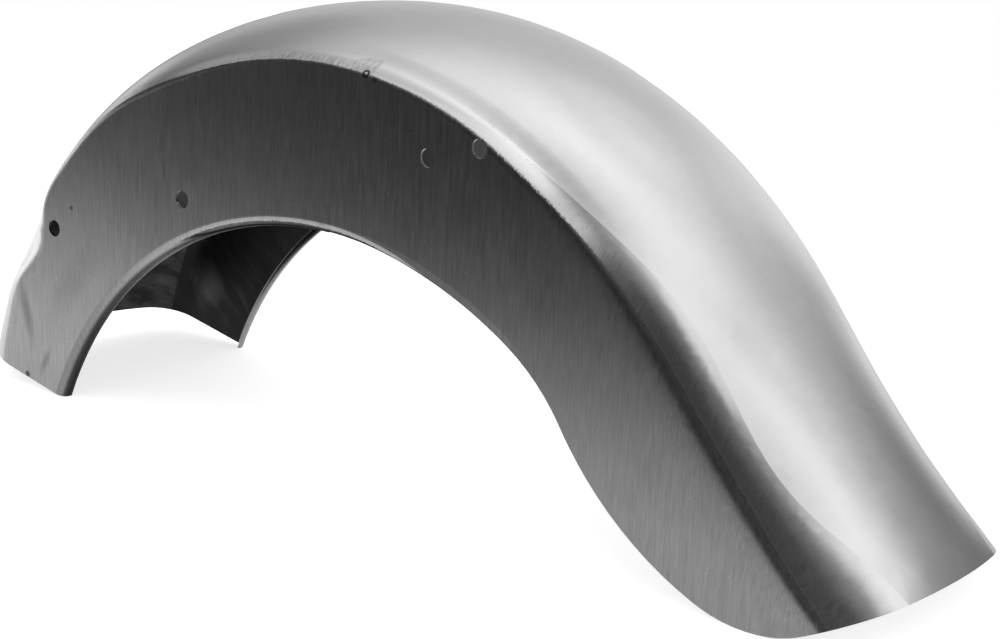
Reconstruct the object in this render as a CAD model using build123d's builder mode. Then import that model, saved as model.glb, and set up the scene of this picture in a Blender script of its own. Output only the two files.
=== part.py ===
from build123d import *
import os
from math import atan, atan2, cos, degrees, hypot, radians, sin

# Motorcycle rear fender, pressed and welded from raw steel sheet into one piece.
# It is drawn round the centre of its wheel arch: X runs rearwards, Y across, Z up.
# All sizes are in millimetres and all angles in degrees.

# Sheet and wheel arch
gauge = 1.5
arch_radius = 240.0
floor_height = 94.8          # the corners the fender stands on, above the arch centre

# Crown line, the top of the fender in side view, run both ways from its highest point
crown_top = (4.6, 357.4)     # behind and above the arch centre
top_arc_radius = 379.6
top_run_rear = 10.7
top_run_front = 152.7
front_arc_radius = 274.0
front_run = 106.5
nose_arc_radius = 249.6
nose_run = 180.0
nose_lead = 50.0
rear_arc_radius = 275.3
rear_run = 214.1
tail_lead = 300.0

# Flat skirts, which spread a little towards the tail
skirt_half_width = 81.2      # outside, above the arch centre
skirt_spread = 0.0057        # for each millimetre rearwards
section_depth = 165.0        # far enough down to be cut by every lower edge

# Cross-sections along the crown line: distance from the top (rearwards is positive),
# crown height above the flat of the skirt, and radius of the shoulder between them
sections = [
    (-480, 35, 29), (-436, 36, 29), (-403, 38.5, 23), (-371, 41, 16.7),
    (-270, 31.4, 6), (-240, 30.3, 5), (-195, 29.6, 5), (-150, 30, 5),
    (-90, 28, 5), (-30, 26.5, 5), (30, 27.5, 5), (85, 28.5, 6), (135, 30.7, 10.7),
    (185, 33, 16.4), (230, 35.9, 24.7), (275, 41.4, 32.5), (320, 48.8, 37.8),
    (365, 54.2, 43.7), (410, 56.5, 50.7), (455, 53, 49), (500, 52, 48),
]
# Joggle above the nose, where crown and shoulder step outwards together
joggle_start = -313.0
joggle_length = 12.9
joggle_depth = 5.0
joggle_crown_heights = (37.2, 47.5)
joggle_shoulders = (9.2, 15.5)
joggle_steps = 4

# Rolled lip round the wheel arch, which fades out behind the top
roll_radius = 6.0
lip_depth = 7.5
fading_radius = 180.0        # the roll's line behind the top, which leads it off the sheet

# Lower edge in side view: the nose, the raw edge behind the arch and the tail
nose_slope = 11.05
raw_edge_top = 241.3
raw_edge_radius = 250.6
raw_edge_turn = 31.4
skirt_bend_radius = 114.8
skirt_bend_turn = 24.8
skirt_sweep_radius = 187.3
skirt_sweep_turn = 34.8
foot_radius = 82.1
foot_turn = 44.7
tail_slope = 23.4

# Fender strut bolts, the same four through each skirt, as (X, Z) of each pair's middle
strut_hole = 10.2
rear_pair_centre = (90.7, 298.9)
rear_pair_spacing = 35.9
rear_pair_slope = 16.7
front_pair_centre = (-168.1, 221.1)
front_pair_spacing = 119.5
front_pair_slope = 18.3

# Two bolt holes low in the nose of the crown
nose_hole = 8.0
nose_hole_spacing = 80.0
nose_hole_rise = 30.0        # above the standing corners

outside = 450.0              # beyond the fender on every side


def half_width(x):
    return skirt_half_width + skirt_spread * x


def ease(t):
    """Rise smoothly from 0 to 1 with t."""
    t = min(max(t, 0.0), 1.0)
    return t * t * (3 - 2 * t)


# Crown line, one run each way from the highest point
with BuildLine(Plane.XZ) as front_line:
    top = JernArc(crown_top, (-1, 0), top_arc_radius,
                  degrees(top_run_front / top_arc_radius))
    front = JernArc(top @ 1, top % 1, front_arc_radius, degrees(front_run / front_arc_radius))
    nose = JernArc(front @ 1, front % 1, nose_arc_radius, degrees(nose_run / nose_arc_radius))
    Line(nose @ 1, nose @ 1 + (nose % 1) * nose_lead)

with BuildLine(Plane.XZ) as rear_line:
    top = JernArc(crown_top, (1, 0), top_arc_radius,
                  -degrees(top_run_rear / top_arc_radius))
    rear = JernArc(top @ 1, top % 1, rear_arc_radius, -degrees(rear_run / rear_arc_radius))
    Line(rear @ 1, rear @ 1 + (rear % 1) * tail_lead)


def crown_at(distance):
    """Point on the crown line and the rearward direction there."""
    line = rear_line.wire() if distance >= 0 else front_line.wire()
    point = line.position_at(abs(distance), position_mode=PositionMode.LENGTH)
    along = line.tangent_at(abs(distance), position_mode=PositionMode.LENGTH)
    return point, along if distance >= 0 else -along


def between(ends, part_way):
    return ends[0] + (ends[1] - ends[0]) * part_way


def joggle_lift(distance):
    return joggle_depth * ease((joggle_start - distance) / joggle_length)


def draw_section(distance, crown_height, shoulder, inset):
    """Closed section across the fender: skirts, shoulders and crown, inset from outside."""
    point, along = crown_at(distance)
    out = Vector(-along.Z, 0, along.X)
    base = point + out * (joggle_lift(distance) - crown_height)
    lean = atan(skirt_spread * out.X)
    width = half_width(base.X)

    # Shoulder arc tangent to the skirt, and crown arc tangent to both shoulders
    shoulder_x = width - shoulder * cos(lean)
    shoulder_y = shoulder * sin(lean)
    rise = crown_height - shoulder_y
    crown_arc = (shoulder_x ** 2 + rise ** 2 - shoulder ** 2) / (2 * (rise - shoulder))
    centre_y = crown_height - crown_arc
    join_angle = atan2(shoulder_y - centre_y, shoulder_x)
    mid_angle = (join_angle - lean) / 2
    bend = shoulder - inset

    start = (shoulder_x + bend * cos(lean), shoulder_y - bend * sin(lean))
    middle = (shoulder_x + bend * cos(mid_angle), shoulder_y + bend * sin(mid_angle))
    join = (shoulder_x + bend * cos(join_angle), shoulder_y + bend * sin(join_angle))
    drop = section_depth - crown_height
    foot = (start[0] - drop * sin(lean), start[1] - drop * cos(lean))

    def mirrored(p):
        return (-p[0], p[1])

    with BuildSketch(Plane(origin=base, x_dir=(0, 1, 0), z_dir=along)) as section:
        with BuildLine():
            Line(foot, start)
            ThreePointArc(start, middle, join)
            ThreePointArc(join, (0, crown_height - inset), mirrored(join))
            ThreePointArc(mirrored(join), mirrored(middle), mirrored(start))
            Line(mirrored(start), mirrored(foot))
            Line(mirrored(foot), foot)
        make_face()
    return section.sketch


def all_sections():
    """The listed sections, with those across the joggle put in between."""
    joggle = []
    for step in range(joggle_steps + 1):
        part_way = step / joggle_steps
        joggle.append((
            joggle_start - joggle_length * part_way,
            between(joggle_crown_heights, part_way),
            between(joggle_shoulders, part_way),
        ))
    return sorted(sections + joggle)


fading_height = arch_radius - fading_radius


def on_arch(edge, inset):
    """Whether an edge runs round the wheel arch, on a skirt."""
    place = edge @ 0.3
    beyond_circle = hypot(place.X, place.Z) - arch_radius
    beyond_fading = hypot(place.X, place.Z - fading_height) - fading_radius
    beyond = beyond_circle if place.X < 0 else beyond_fading
    return abs(beyond - inset) < gauge / 10 and abs(place.Y) > roll_radius


def formed_solid(inset):
    """Solid form of the fender over a wheel arch with rolled edges, inset from outside."""
    profiles = [
        draw_section(distance, crown_height, shoulder, inset)
        for distance, crown_height, shoulder in all_sections()
    ]
    with BuildPart() as form:
        loft(profiles)
        with BuildSketch(Plane.XZ):
            Circle(arch_radius + inset)
            Rectangle(outside, 2 * outside, align=(Align.MIN, Align.CENTER), mode=Mode.SUBTRACT)
            with Locations((0, fading_height)):
                Circle(fading_radius + inset)
        extrude(amount=outside, both=True, mode=Mode.SUBTRACT)
        fillet(form.edges().filter_by(lambda edge: on_arch(edge, inset)), roll_radius - inset)
    return form.part


# Space between the two lips, cut out of the floor that closes the arch
lip_end_front = half_width(-outside) - lip_depth
lip_end_rear = half_width(outside) - lip_depth
with BuildPart() as lip_gap:
    with BuildSketch():
        Polygon(
            (-outside, -lip_end_front),
            (outside, -lip_end_rear),
            (outside, lip_end_rear),
            (-outside, lip_end_front),
            align=None,
        )
    extrude(amount=outside)
    with BuildSketch(Plane.XZ):
        Circle(arch_radius + 2 * gauge)
    extrude(amount=outside, both=True, mode=Mode.INTERSECT)

# Nose edge, which runs forwards and up from the corner where it meets the arch
corner = Vector(-((arch_radius ** 2 - floor_height ** 2) ** 0.5), floor_height)
nose_way = Vector(-cos(radians(nose_slope)), sin(radians(nose_slope)))
nose_start = corner - nose_way * arch_radius / 2
nose_end = corner + nose_way * outside
with BuildPart() as below_nose:
    with BuildSketch(Plane.XZ):
        Polygon(nose_start, nose_end, (nose_end.X, -outside), (nose_start.X, -outside), align=None)
    extrude(amount=outside, both=True)

# Raw edge behind the arch, bend down into the tail, rounded foot and tail cut
with BuildPart() as below_tail:
    with BuildSketch(Plane.XZ):
        with BuildLine():
            start = (0, raw_edge_top)
            raw = JernArc(start, (1, 0), raw_edge_radius, -raw_edge_turn)
            bend = JernArc(raw @ 1, raw % 1, skirt_bend_radius, -skirt_bend_turn)
            sweep_up = JernArc(bend @ 1, bend % 1, skirt_sweep_radius, skirt_sweep_turn)
            foot = JernArc(sweep_up @ 1, sweep_up % 1, foot_radius, foot_turn)
            tail_way = Vector(cos(radians(tail_slope)), sin(radians(tail_slope)))
            tail = Line(foot @ 1, foot @ 1 + tail_way * outside)
            Polyline(tail @ 1, ((tail @ 1).X, -outside), (0, -outside), start)
        make_face()
    extrude(amount=outside, both=True)


def bolt_pair(centre, spacing, slope):
    """Middles of two bolt holes in side view."""
    half = Vector(cos(radians(slope)), sin(radians(slope))) * spacing / 2
    return [Vector(*centre) - half, Vector(*centre) + half]


strut_holes = (
    bolt_pair(front_pair_centre, front_pair_spacing, front_pair_slope)
    + bolt_pair(rear_pair_centre, rear_pair_spacing, rear_pair_slope)
)

with BuildPart() as fender:
    add(formed_solid(0))
    add(formed_solid(gauge), mode=Mode.SUBTRACT)
    add(lip_gap.part, mode=Mode.SUBTRACT)
    add(below_nose.part, mode=Mode.SUBTRACT)
    add(below_tail.part, mode=Mode.SUBTRACT)

    # Strut bolt holes, straight through both skirts
    with BuildSketch(Plane.XZ):
        with Locations(*strut_holes):
            Circle(strut_hole / 2)
    extrude(amount=outside, both=True, mode=Mode.SUBTRACT)

    # Bolt holes in the nose of the crown
    with BuildSketch(Plane.YZ):
        with Locations((0, floor_height + nose_hole_rise)):
            with GridLocations(nose_hole_spacing, 0, 2, 1):
                Circle(nose_hole / 2)
    extrude(amount=-outside, mode=Mode.SUBTRACT)

# Stood on its lowest points, with the origin below its middle
box = fender.part.bounding_box()
rear_fender = fender.part.moved(Location((-box.center().X, 0, -box.min.Z)))
rear_fender.label = "rear_fender"
os.makedirs("parts", exist_ok=True)
export_step(rear_fender, "parts/rear_fender.step")
print("moved by", -box.center().X, -box.min.Z, "volume", rear_fender.volume, rear_fender.is_valid)
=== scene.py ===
# %% [markdown]
# # A raw steel motorcycle rear fender
#
# The real fender is pressed and welded from 1.5 mm sheet steel and left unpainted.
# It is one rigid piece, and its solid was drawn in CAD at its real size. This lesson
# loads that solid as a fixed frame, gives the bare steel its finish, and sets it
# in a small photographer's studio. Everything is in metres: X runs rearwards,
# Y across and Z up, with the origin on the floor below the middle of the fender.

# %% Load the frame
from math import cos, radians, sin

import bpy
from mathutils import Matrix, Vector

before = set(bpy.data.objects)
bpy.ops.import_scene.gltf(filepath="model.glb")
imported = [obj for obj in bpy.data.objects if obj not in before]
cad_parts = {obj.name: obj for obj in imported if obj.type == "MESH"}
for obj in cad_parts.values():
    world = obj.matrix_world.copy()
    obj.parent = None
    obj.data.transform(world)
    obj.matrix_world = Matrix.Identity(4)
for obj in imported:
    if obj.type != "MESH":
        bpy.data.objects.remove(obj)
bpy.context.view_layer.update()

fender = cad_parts["rear_fender"]

# %% [markdown]
# ## The camera
#
# The camera looks at the fender from behind and from its left, a little from above.
# A camera can be placed by typing a location and three angles, but it is easier to
# think of it as standing on a ball round the point that it looks at: an azimuth, an
# elevation and a distance put it there, and a small roll levels the picture.

# %% Place the camera
aim_point = Vector((0.03831, 0.0, 0.08687))
camera_azimuth = radians(38.416)
camera_elevation = radians(16.317)
camera_roll = radians(2.173)
camera_distance = 1.2327
camera_lens = 79.2
camera_shift = (-0.0015, 0.012)


def towards(azimuth, elevation):
    """Unit vector from the object to somebody who looks at it from these angles."""
    level = cos(elevation)
    return Vector((sin(azimuth) * level, -cos(azimuth) * level, sin(elevation)))


def standing(direction, distance, roll=0.0):
    """Place of something that looks at the aim point from a direction and distance."""
    move = Matrix.Translation(aim_point + direction * distance)
    turn = (-direction).to_track_quat("-Z", "Y").to_matrix().to_4x4()
    return move @ turn @ Matrix.Rotation(roll, 4, "Z")


away = towards(camera_azimuth, camera_elevation)
camera_data = bpy.data.cameras.new("studio_camera")
camera_data.lens = camera_lens
camera_data.shift_x, camera_data.shift_y = camera_shift
camera = bpy.data.objects.new("studio_camera", camera_data)
camera.matrix_world = standing(away, camera_distance, camera_roll)
bpy.context.scene.collection.objects.link(camera)
bpy.context.scene.camera = camera
print("camera at", tuple(round(value, 3) for value in camera.matrix_world.translation))

# %% [markdown]
# ## Writing shader maths as Python
#
# A pattern on a surface is arithmetic on the point's coordinates. Wiring dozens of
# Math nodes by hand hides the idea, so a small class wraps a socket and gives it
# Python's operators: the expression is then readable, and it adds its own nodes.

# %% A socket that knows arithmetic
class Number:
    """A number in a node tree, which can be used in Python expressions."""

    def __init__(self, tree, socket):
        self.tree = tree
        self.socket = socket

    def maths(self, operation, *others, first=None):
        values = [self, *others] if first is None else [first, self, *others]
        inputs = dict(enumerate(values))
        return self.tree.node("Math", {"operation": operation}, inputs).number()

    def __add__(self, other):
        return self.maths("ADD", other)

    def __radd__(self, other):
        return self.maths("ADD", first=other)

    def __sub__(self, other):
        return self.maths("SUBTRACT", other)

    def __rsub__(self, other):
        return self.maths("SUBTRACT", first=other)

    def __mul__(self, other):
        return self.maths("MULTIPLY", other)

    def __rmul__(self, other):
        return self.maths("MULTIPLY", first=other)

    def __truediv__(self, other):
        return self.maths("DIVIDE", other)

    def __abs__(self):
        return self.maths("ABSOLUTE")

    def root(self):
        return self.maths("SQRT")

    def larger(self, other):
        return self.maths("MAXIMUM", other)

    def rise(self, start, end):
        """0 before the start, 1 past the end, with a smooth slope between."""
        settings = {"interpolation_type": "SMOOTHSTEP"}
        values = {"Value": self, "From Min": start, "From Max": end}
        return self.tree.node("MapRange", settings, values).number()

    def fall(self, start, end):
        """1 before the start, 0 past the end, with a smooth slope between."""
        return 1 - self.rise(start, end)

    def band(self, middle, half, soft):
        """1 within half of the middle, falling to 0 over the soft width outside."""
        return abs(self - middle).fall(half, half + soft)


# %% A tree that makes any node
class Node:
    """A node with its outputs ready for use."""

    def __init__(self, tree, node):
        self.tree = tree
        self.node = node

    def number(self, output=0):
        return Number(self.tree, self.node.outputs[output])


class Tree:
    """A node tree and the one method that adds a node to it."""

    def __init__(self, owner):
        owner.use_nodes = True
        self.nodes = owner.node_tree.nodes
        self.links = owner.node_tree.links
        self.nodes.clear()

    def node(self, kind, settings=None, inputs=None):
        node = self.nodes.new("ShaderNode" + kind)
        for name, value in (settings or {}).items():
            setattr(node, name, value)
        for name, value in (inputs or {}).items():
            if isinstance(value, Number):
                self.links.new(value.socket, node.inputs[name])
            else:
                node.inputs[name].default_value = value
        return Node(self, node)

    def axes(self, vector):
        """The three numbers of a vector."""
        split = self.node("SeparateXYZ", None, {0: vector})
        return [split.number(axis) for axis in range(3)]

    def vector(self, x, y, z):
        return self.node("CombineXYZ", None, {0: x, 1: y, 2: z}).number()

    def dot(self, vector, direction):
        """How far a vector points along a fixed direction."""
        values = {0: vector, 1: direction}
        product = self.node("VectorMath", {"operation": "DOT_PRODUCT"}, values)
        return product.number("Value")

    def unit(self, vector):
        """The vector at a length of 1."""
        return self.node("VectorMath", {"operation": "NORMALIZE"}, {0: vector}).number()

    def noise(self, place, scale, detail, roughness):
        values = {
            "Vector": place,
            "Scale": scale,
            "Detail": detail,
            "Roughness": roughness,
        }
        return self.node("TexNoise", None, values).number(0)

    def grey(self, value):
        return self.node("CombineColor", None, {0: value, 1: value, 2: value}).number()


# %% [markdown]
# ## The studio
#
# Bare metal has next to no colour of its own: it shows the room round it, so the room
# is half of the finish. A photographer lights such a sheet with large soft panels and
# holds black cards where it should fall dark. Each panel or card here is a soft round
# patch of the world, given by where it hangs, how wide it is and how bright. A lamp
# object could do the same, but its hard edge would show in the metal.
#
# The room is seen in two ways. The metal sees the panels; every other surface gets
# one plain level, so that the picture stays free of grain. The camera itself sees
# plain white.

# %% The panels and cards as patches of the room
world = bpy.data.worlds.new("studio_room")
bpy.context.scene.world = world
room = Tree(world)
room_direction = room.node("TexCoord").number("Generated")

dark_room = 0.05
darkest_room = 0.01
plain_level = 0.75

# azimuth, elevation, half of its width, width of its soft edge, all in degrees,
# and its brightness, which is negative for a black card
panels = {
    "backdrop_glow": (-170.9, 37.4, 0.8, 66.7, 1.69),
    "card_in_backdrop": (-157.9, 35.6, 0.0, 45.9, -0.99),
    "card_behind": (166.2, 48.3, 0.0, 23.4, -0.55),
    "strip_behind": (176.4, 46.6, 0.1, 17.5, 0.56),
    "ceiling_panel": (105.0, 88.6, 20.9, 32.6, 0.29),
    "rear_panel": (98.2, 40.3, 0.0, 23.8, 0.86),
    "low_rear_panel": (93.9, 21.8, 26.0, 24.0, 0.12),
    "front_panel": (-20.8, 52.9, 0.2, 39.6, 0.46),
    "card_at_nose": (-115.8, 23.1, 0.1, 16.3, -0.21),
    "low_nose_panel": (-92.0, -3.0, 2.0, 14.0, 1.50),
    "low_front_panel": (-72.0, -3.0, 2.0, 12.0, 0.80),
    "low_far_panel": (-116.0, 0.0, 3.0, 8.0, 0.60),
    "card_near_floor": (129.7, -20.0, 48.9, 15.7, -1.14),
}
seen_in_metal = dark_room
for name, (azimuth, elevation, half, edge, level) in panels.items():
    hangs = towards(radians(azimuth), radians(elevation))
    facing = room.dot(room_direction, hangs)
    patch = facing.rise(cos(radians(half + edge)), cos(radians(half))) * level
    seen_in_metal = patch + seen_in_metal
    print(name, "towards", tuple(round(value, 2) for value in hangs))

rays = room.node("LightPath")
by_camera = rays.number("Is Camera Ray")
by_metal = rays.number("Is Glossy Ray").larger(rays.number("Is Transmission Ray"))
in_metal = by_metal * seen_in_metal.larger(darkest_room)
unseen = in_metal + (1 - by_metal) * plain_level
brightness = by_camera + (1 - by_camera) * unseen
lit = room.node("Background", None, {"Color": room.grey(brightness), "Strength": 1.0})
room.node("OutputWorld", None, {"Surface": lit.number()})
world.cycles.sampling_method = "NONE"  # rays find the room; none is aimed at it
print("the room has", len(panels), "panels and cards and", len(room.nodes), "nodes")

# %% [markdown]
# The floor is a flat white sheet. It glows white for the camera, so that the picture
# has a pale ground with only the fender's own shadow on it. In the metal it is bright
# close to the fender and falls off towards the photographer, who stands in the dark.

# %% The floor
floor_front = -1.4
floor_back = 1.2
floor_side = 1.4
floor_glow = 0.72
floor_grey = 0.82
floor_roughness = 0.9
bright_floor = 0.80
dim_floor = 0.02
bright_to = -0.14            # how far towards the photographer the floor is bright
dim_from = -0.66             # and from where it is dark
falls_off_slant = 0.08
brighter_forwards = 0.45     # for each metre towards the nose

floor_mesh = bpy.data.meshes.new("studio_floor")
floor_corners = [
    (-floor_side, floor_front, 0.0),
    (floor_side, floor_front, 0.0),
    (floor_side, floor_back, 0.0),
    (-floor_side, floor_back, 0.0),
]
floor_mesh.from_pydata(floor_corners, [], [(0, 1, 2, 3)])
floor = bpy.data.objects.new("studio_floor", floor_mesh)
bpy.context.scene.collection.objects.link(floor)

floor_paint = bpy.data.materials.new("floor_paint")
paint = Tree(floor_paint)
floor_rays = paint.node("LightPath")
floor_in_metal = floor_rays.number("Is Glossy Ray")
through_glass = floor_rays.number("Is Transmission Ray")
floor_seen = floor_rays.number("Is Camera Ray").larger(through_glass)
floor_x, floor_y, _ = paint.axes(paint.node("TexCoord").number("Object"))
nearness = (floor_y - floor_x * falls_off_slant).rise(dim_from, bright_to)
floor_near = bright_floor - floor_x * brighter_forwards
floor_mirrored = dim_floor + floor_near * nearness * nearness
floor_light = floor_seen * floor_glow + floor_in_metal * floor_mirrored
floor_finish = paint.node("BsdfPrincipled", None, {
    "Base Color": paint.grey(floor_grey * (1 - floor_in_metal)),
    "Roughness": floor_roughness,
    "Emission Color": paint.grey(floor_light),
    "Emission Strength": 1.0,
    "Specular IOR Level": 0.0,
})
paint.node("OutputMaterial", None, {"Surface": floor_finish.number()})
floor_paint.cycles.emission_sampling = "NONE"  # nor is any aimed at the floor's glow
floor_mesh.materials.append(floor_paint)
print("floor from", floor_corners[0], "to", floor_corners[2])

# %% [markdown]
# One lamp above adds to the room's plain light, so that a faint shadow falls below the
# fender. The metal doesn't see it, because there it would be a hard white square.

# %% The lamp
lamp_azimuth = radians(40.0)
lamp_elevation = radians(75.0)
lamp_distance = 1.8
lamp_size = 1.2
lamp_power = 6.0

lamp_data = bpy.data.lights.new("overhead_lamp", "AREA")
lamp_data.size = lamp_size
lamp_data.energy = lamp_power
lamp = bpy.data.objects.new("overhead_lamp", lamp_data)
lamp.matrix_world = standing(towards(lamp_azimuth, lamp_elevation), lamp_distance)
lamp.visible_glossy = False
bpy.context.scene.collection.objects.link(lamp)
print("lamp at", tuple(round(value, 2) for value in lamp.matrix_world.translation))

# %% [markdown]
# ## Bare brushed steel
#
# The sheet was ground after welding. Its skirts carry a fine brushed grain that
# runs up and down, and they look dark, because they face the dark side of the room.
# The crown was rubbed smoother and shines softly. One material covers both: masks
# worked out from the coordinates say which part of the sheet a point is on.
#
# Two measures do most of that work. One is how far a point lies in from the flat of
# its skirt, which is 0 on the skirt and grows over the crown. The other is how far it
# lies from the wheel's axle, which picks out the rolled lip of the wheel arch.

# %% Where on the fender a point is
wheel_centre_x = -0.0233
wheel_centre_z = -0.0946
skirt_half_width = 0.0812
skirt_spread = 0.0057        # the skirts part by this much for each metre rearwards
arch_radius = 0.2400
roll_ends = 0.2462           # distance from the axle at which the lip's roll ends

steel = bpy.data.materials.new("raw_steel_finish")
metal = Tree(steel)
place = metal.node("TexCoord")
point = place.number("Object")
x, y, z = metal.axes(point)
facing_x, facing_y, facing_z = metal.axes(place.number("Normal"))
near_side = y.fall(-0.01, 0.01)

from_wheel_x = x - wheel_centre_x
from_wheel_z = z - wheel_centre_z
from_wheel = (from_wheel_x * from_wheel_x + from_wheel_z * from_wheel_z).root()
to_skirt = skirt_half_width + from_wheel_x * skirt_spread - abs(y)

# %% [markdown]
# The brushed grain stops at the welded edge. Over the wheel that is where the flat
# skirt ends; towards the tail the grinder went further round, up to a seam 7 mm in.
# A fine noise frays this line, as no hand holds a grinder perfectly still.

# %% Skirt, lip and inside as masks
fray_scale = 900.0
fray_depth = 0.0012
edge_width = 0.0007          # how far round the edge the grain goes over the wheel
seam_width = 0.0067          # and how much further at the tail
seam_widens = (0.10, 0.26)   # between these places along the fender
mask_edge = 0.0003
lip_edge = 0.0008
lip_stops = (0.10, 0.12)     # where the raw edge takes over from the lip
flat_faces = (0.94, 0.99)    # how squarely the flat of a skirt faces sideways
inside_edge = 0.002

frayed = (metal.noise(point, fray_scale, 2.0, 0.7) - 0.5) * fray_depth
brushed_to = edge_width + x.rise(*seam_widens) * seam_width
on_flat = (to_skirt - brushed_to + frayed).fall(-mask_edge, mask_edge)

turned_in = abs(facing_y).fall(*flat_faces)
by_arch = from_wheel.fall(roll_ends, roll_ends + lip_edge)
on_lip = by_arch * turned_in.larger(x.fall(*lip_stops))
on_skirt = on_flat.larger(on_lip)

outward = from_wheel_x * facing_x + y * facing_y + from_wheel_z * facing_z
inside = outward.fall(-inside_edge, inside_edge) * (1 - on_lip)
print("masks use", len(metal.nodes), "nodes")

# %% [markdown]
# Six noises make the sheet uneven. Each is given by how many lumps it has in a metre.
# Where that number differs from axis to axis, the lumps are drawn out into streaks.
# All but the flecks swing about 0, so that they can be added to a grey without making
# the whole part paler or darker.

# %% Grain, clouding and flecks
def swinging(place, scale, detail, roughness):
    """A noise that swings about 0."""
    return metal.noise(place, scale, detail, roughness) - 0.5


def streaks(axes, lumps, detail):
    """A noise with its own number of lumps along each of three axes."""
    stretched = metal.vector(*[axis * count for axis, count in zip(axes, lumps)])
    return swinging(stretched, 1.0, detail, 0.6)


grain = streaks((x, y, z), (900, 900, 55), 3.0)
hatch = streaks((x, y, z), (760, 120, 120), 2.0)
smudges = streaks((x + z, y, x - z), (90, 40, 22), 3.0)
clouds = swinging(point, 22.0, 3.0, 0.55)
fine_clouds = swinging(point, 160.0, 2.0, 0.5)
flecks = metal.noise(point, 620.0, 1.0, 0.5)
print("masks and noises use", len(metal.nodes), "nodes")

# %% [markdown]
# The marks of making and handling are what turn plain grey into a used sheet. Each is
# a mask worked out from the coordinates: a round spot is a distance from a point, a
# smear is a stretched distance, and a weld's dressing is a strip beside the edge.

# %% The shapes of the marks
def from_spot(centre):
    """Distance from a point on the sheet."""
    step_x, step_y, step_z = [axis - value for axis, value in zip((x, y, z), centre)]
    return (step_x * step_x + step_y * step_y + step_z * step_z).root()


def smear(centre, length, width, slope):
    """A soft long mark on the near skirt, 1 at its middle."""
    along_x, along_z = cos(radians(slope)), sin(radians(slope))
    step_x, step_z = x - centre[0], z - centre[1]
    along = (step_x * along_x + step_z * along_z) * (2 / length)
    across = (step_z * along_x - step_x * along_z) * (2 / width)
    return (along * along + across * across).root().fall(0.1, 1.0) * near_side * on_skirt


# %% The dressed weld and the seam
weld_width = 0.0055
weld_widening = 0.0050
weld_widens = (-0.012, 0.006)
weld_starts = (-0.115, -0.050)
weld_stops = (0.0094, 0.0102)

weld_top = weld_width + x.rise(*weld_widens) * weld_widening
below_top = (to_skirt - weld_top + frayed * 2).fall(-mask_edge * 2, mask_edge * 2)
along_weld = x.rise(*weld_starts) * x.fall(*weld_stops)
dressed_weld = (1 - on_flat) * below_top * along_weld * near_side

seam_line = (0.0, 0.0002, 0.0005)       # middle, half width and soft edge
seam_strip = (0.002, 0.002, 0.004)
seam_starts, seam_strip_starts = (0.15, 0.20), (0.12, 0.17)

past_seam = to_skirt - brushed_to
seam = past_seam.band(*seam_line) * x.rise(*seam_starts)
seam_dressing = past_seam.band(*seam_strip) * x.rise(*seam_strip_starts)

# %% [markdown]
# Beside the rear strut holes the crown gets a painted highlight, a bright rim along the
# edge, and a thin line of painted shade above it, with a few dark flecks where the
# grinder dug in.

# %% The painted highlight and shade behind the wheel's top
highlight_rim_width = (0.006, 0.010)
highlight_rim_starts, highlight_rim_stops = (-0.05, 0.0), (0.12, 0.16)
# a painted highlight along the edge
painted_edge_highlight = to_skirt.fall(*highlight_rim_width) * x.rise(*highlight_rim_starts) * x.fall(*highlight_rim_stops)

# a thin line of painted shade above the painted highlight
shade_height, shade_half, shade_soft = 0.0135, 0.001, 0.004
shade_starts, shade_stops = (-0.02, 0.03), (0.13, 0.18)
painted_shade_line = to_skirt.band(shade_height, shade_half, shade_soft)
painted_shade_line = painted_shade_line * x.rise(*shade_starts) * x.fall(*shade_stops)

speck_noise = (0.735, 0.78)  # a speck shows where the noise is as high as this
fleck_noise = (0.70, 0.74)
flecks_above, flecks_below = (0.002, 0.004), (0.008, 0.011)
flecks_start, flecks_stop = (0.06, 0.10), (0.13, 0.17)
light_specks = flecks.rise(*speck_noise) * on_skirt
beside_edge = to_skirt.rise(*flecks_above) * to_skirt.fall(*flecks_below)
by_holes = x.rise(*flecks_start) * x.fall(*flecks_stop)
edge_flecks = flecks.rise(*fleck_noise) * beside_edge * by_holes * near_side

# %% Spots and smears
ring_centre = (0.0055, -0.0806, 0.2370)
ring_line = (0.0017, 0.0005, 0.0004)    # radius, half width and soft edge
ring_hollow_edge = (0.0016, 0.0020)
ring_darkness = 0.85
ring_distance = from_spot(ring_centre)
ring_hollow = ring_distance.fall(*ring_hollow_edge)
dark_marks = ring_distance.band(*ring_line) * ring_darkness

spot_edge = 0.0008
spots = [  # centre, radius, how dark
    ((0.0119, -0.0813, 0.2345), 0.0013, 0.6),
    ((-0.2319, -0.0800, 0.1233), 0.0011, 0.55),
    ((0.0377, -0.0815, 0.2113), 0.0006, 0.7),
    ((-0.2770, -0.0798, 0.0085), 0.0016, 0.7),
]
for centre, radius, depth in spots:
    mark = from_spot(centre).fall(radius, radius + spot_edge)
    dark_marks = dark_marks.larger(mark * depth)

smears = [  # centre along and up, length, width, slope in degrees, how dark
    ((-0.2760, 0.0480), 0.060, 0.012, 105.0, 0.30),
    ((-0.2590, 0.0210), 0.030, 0.008, 62.0, 0.28),
    ((-0.2300, 0.0800), 0.090, 0.030, 50.0, 0.10),
    ((-0.0200, 0.2050), 0.080, 0.012, 88.0, 0.12),
]
for centre, length, width, slope, depth in smears:
    dark_marks = dark_marks.larger(smear(centre, length, width, slope) * depth)
print("marks:", len(spots), "spots and", len(smears), "smears")

# %% [markdown]
# The grey of each part is its own sum: a base, plus what the noises and the marks add
# or take away. The number behind each pattern says how strongly it shows.

# %% How grey the skirts and the crown are
plain_skirt = 0.36
plain_crown = 0.60
tail_highlight_gain = 0.06
tail_highlight_grows = (0.05, 0.25)    # between these places along the fender

skirt_grey = plain_skirt + grain * 0.25 + clouds * 0.08 + light_specks * 0.15

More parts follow.
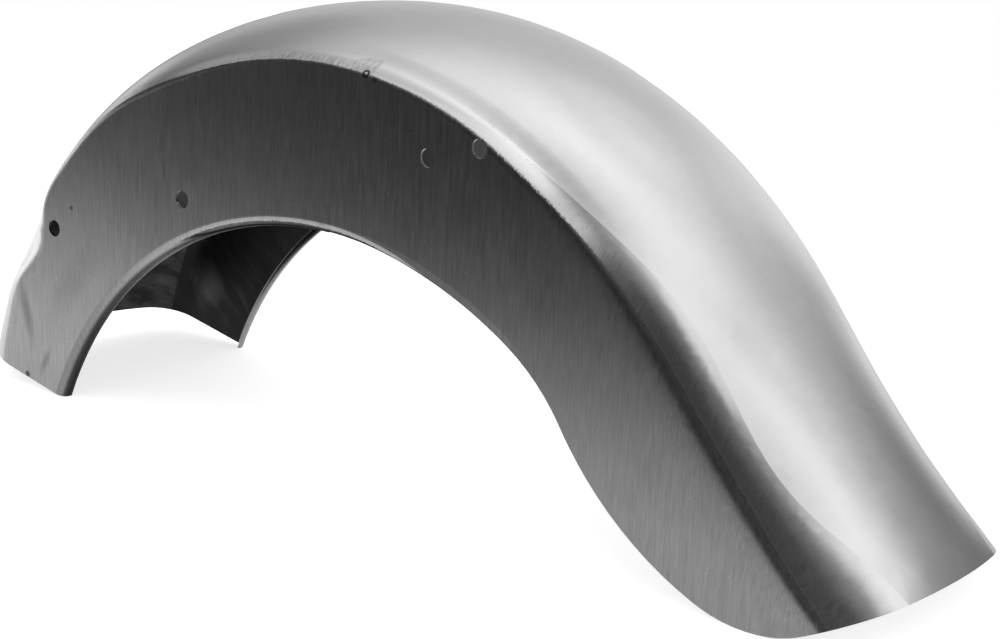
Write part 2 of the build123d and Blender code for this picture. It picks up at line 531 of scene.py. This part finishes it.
crown_grey = plain_crown + fine_clouds * 0.03 + clouds * 0.04
# Towards the tail the crown is painted paler, a painted brightening of its highlight.
crown_grey = crown_grey + x.rise(*tail_highlight_grows) * tail_highlight_gain
# The bright rim is a painted highlight and the shaded line is painted shade; the flecks
# are marks in the sheet.
crown_grey = crown_grey + painted_edge_highlight * 0.10 - painted_shade_line * 0.09 - edge_flecks * 0.18
crown_grey = crown_grey - dressed_weld * (0.06 + hatch * 0.90)
crown_grey = crown_grey + seam * 0.08 + seam_dressing * hatch * 0.30

# %% [markdown]
# The inside is painted dark, as painted shade under the fender. The painted shade
# lightens rearwards, and it lightens upwards too, though less in the nose and not on
# the walls that face along the fender. One patch low in the nose is paler, and a line
# of painted shade lies in the corner between skirt and crown.

# %% The inside's painted shade
# the inside's grey is painted shade, lifted rearwards and upwards
shaded_inside = 0.028
darkest_grey = 0.015
shade_lifts_rearwards = (-0.20, 0.0)          # between these places along the fender
shade_lifts_low, shade_lifts_high = (0.04, 0.12), (0.13, 0.20)      # between these heights
end_wall_faces = (0.5, 0.9)             # how squarely such a wall faces along X
nose_ends = (-0.28, -0.20)
shade_lifts_in_nose = 0.3                     # as a share of what it does behind it
corner_line = (0.0036, 0.0016, 0.0012)  # middle, half width and soft edge
pale_centre_x, pale_centre_z, pale_radius = -0.28, 0.037, 0.022

# a line of painted shade in the corner between skirt and crown
corner_shade = to_skirt.band(*corner_line)
pale_x, pale_z = x - pale_centre_x, z - pale_centre_z
pale_patch = (pale_x * pale_x + pale_z * pale_z).root().fall(0.0, pale_radius)
behind_nose = shade_lifts_in_nose + x.rise(*nose_ends) * (1 - shade_lifts_in_nose)
not_end_wall = abs(facing_x).fall(*end_wall_faces)
higher_up = z.rise(*shade_lifts_low) * 0.14 + z.rise(*shade_lifts_high) * 0.30
inside_shade_grey = shaded_inside + smudges * 0.10 + x.rise(*shade_lifts_rearwards) * 0.30
inside_shade_grey = inside_shade_grey + higher_up * (not_end_wall * behind_nose)
inside_shade_grey = (inside_shade_grey + pale_patch * 0.10) * (1 - corner_shade * 0.65)

# %% [markdown]
# The lip gets its own painted light and shade, by which the grey of the skirt is
# multiplied: from the arch outwards it goes from a painted dark underside over the foot
# of the roll to a painted highlight on its top, and it is painted duller at the nose.

# %% The lip's painted light and shade
roll_foot = (0.0001, 0.0005)            # between these distances out from the arch
roll_top = (0.0008, 0.0030)
lip_under_shade, foot_adds, top_highlight_adds = 0.08, 0.10, 0.92
lip_shade_in_nose, lip_gains = 0.65, 0.55
lip_brightens = (-0.24, -0.10)          # between these places along the fender
far_lip_shade = 0.75

on_foot = from_wheel.rise(*[arch_radius + out for out in roll_foot])
on_top = from_wheel.rise(*[arch_radius + out for out in roll_top])
# painted shade under the lip and a painted highlight on its top
lip_painted_light = lip_under_shade + on_foot * foot_adds + on_top * top_highlight_adds
lip_painted_light = lip_painted_light * (lip_shade_in_nose + x.rise(*lip_brightens) * lip_gains)
# the far side's lip gets one plain painted shade
lip_painted_light = lip_painted_light * near_side + (1 - near_side) * far_lip_shade

# %% The parts together
outer_grey = crown_grey + (skirt_grey - crown_grey) * on_skirt
outer_grey = outer_grey * (1 + (lip_painted_light - 1) * on_lip)
steel_grey = outer_grey + (inside_shade_grey.larger(darkest_grey) - outer_grey) * inside
steel_grey = steel_grey * (1 - dark_marks)

plain_roughness = 0.22
skirt_adds, grain_adds, weld_adds = 0.08, 0.1, 0.12
inside_adds, marks_add = 0.15, 0.2
outer_roughness = plain_roughness + on_skirt * skirt_adds
outer_roughness = outer_roughness + grain * on_skirt * grain_adds
outer_roughness = outer_roughness + dressed_weld * weld_adds
steel_roughness = outer_roughness + inside * inside_adds + dark_marks * marks_add
print("steel uses", len(metal.nodes), "nodes so far")

# %% [markdown]
# In two strips the photograph's reflections suggest a sheet that turns otherwise than
# the CAD solid does. The solid stays as it is, and only the direction in which the
# metal is shaded is bent: beside the welded edge over the wheel it is lifted towards
# the ceiling, and between the tail's skirt and its seam it is flattened sideways. A
# small bump adds the grain, the weld's hatching, the seam and the ring's hollow.

# %% Which way the metal faces
most_lifted = 1.1            # added to a normal that is 1 long
most_flattened = 12.0
lift_width = (0.0008, 0.0085)
lift_starts, lift_stops = (-0.16, -0.10), (0.11, 0.17)
flat_starts = (0.10, 0.16)
bump_strength = 0.12
bump_height = 0.0004
ring_depth, seam_depth = 2.0, 0.5

outside = 1 - inside
lifted = to_skirt.fall(*lift_width) * (1 - on_flat) * outside
lifted = lifted * x.rise(*lift_starts) * x.fall(*lift_stops) * most_lifted
before_seam = (to_skirt / brushed_to).fall(0.0, 1.0)
flattened = before_seam * before_seam * x.rise(*flat_starts) * outside
flattened = flattened * most_flattened
sideways = (1 - near_side * 2) * flattened
normal_x, normal_y, normal_z = metal.axes(metal.node("NewGeometry").number("Normal"))
bent = metal.unit(metal.vector(normal_x, normal_y + sideways, normal_z + lifted))

relief = grain * on_skirt + hatch * dressed_weld
relief = relief - ring_hollow * ring_depth - seam * seam_depth
bumps = metal.node("Bump", None, {
    "Strength": bump_strength,
    "Distance": bump_height,
    "Height": relief,
    "Normal": bent,
})

# %% Put the finish on the fender
finish = metal.node("BsdfPrincipled", None, {
    "Base Color": metal.grey(steel_grey),
    "Metallic": 1.0,
    "Roughness": steel_roughness,
    "Normal": bumps.number(),
})
metal.node("OutputMaterial", None, {"Surface": finish.number()})
fender.data.materials[0] = steel
print("steel has", len(metal.nodes), "nodes")

# %% [markdown]
# ## Handing over
#
# The view settings stay plain, so a colour renders as it was written.

# %% Finish
bpy.context.scene.view_settings.view_transform = "Standard"
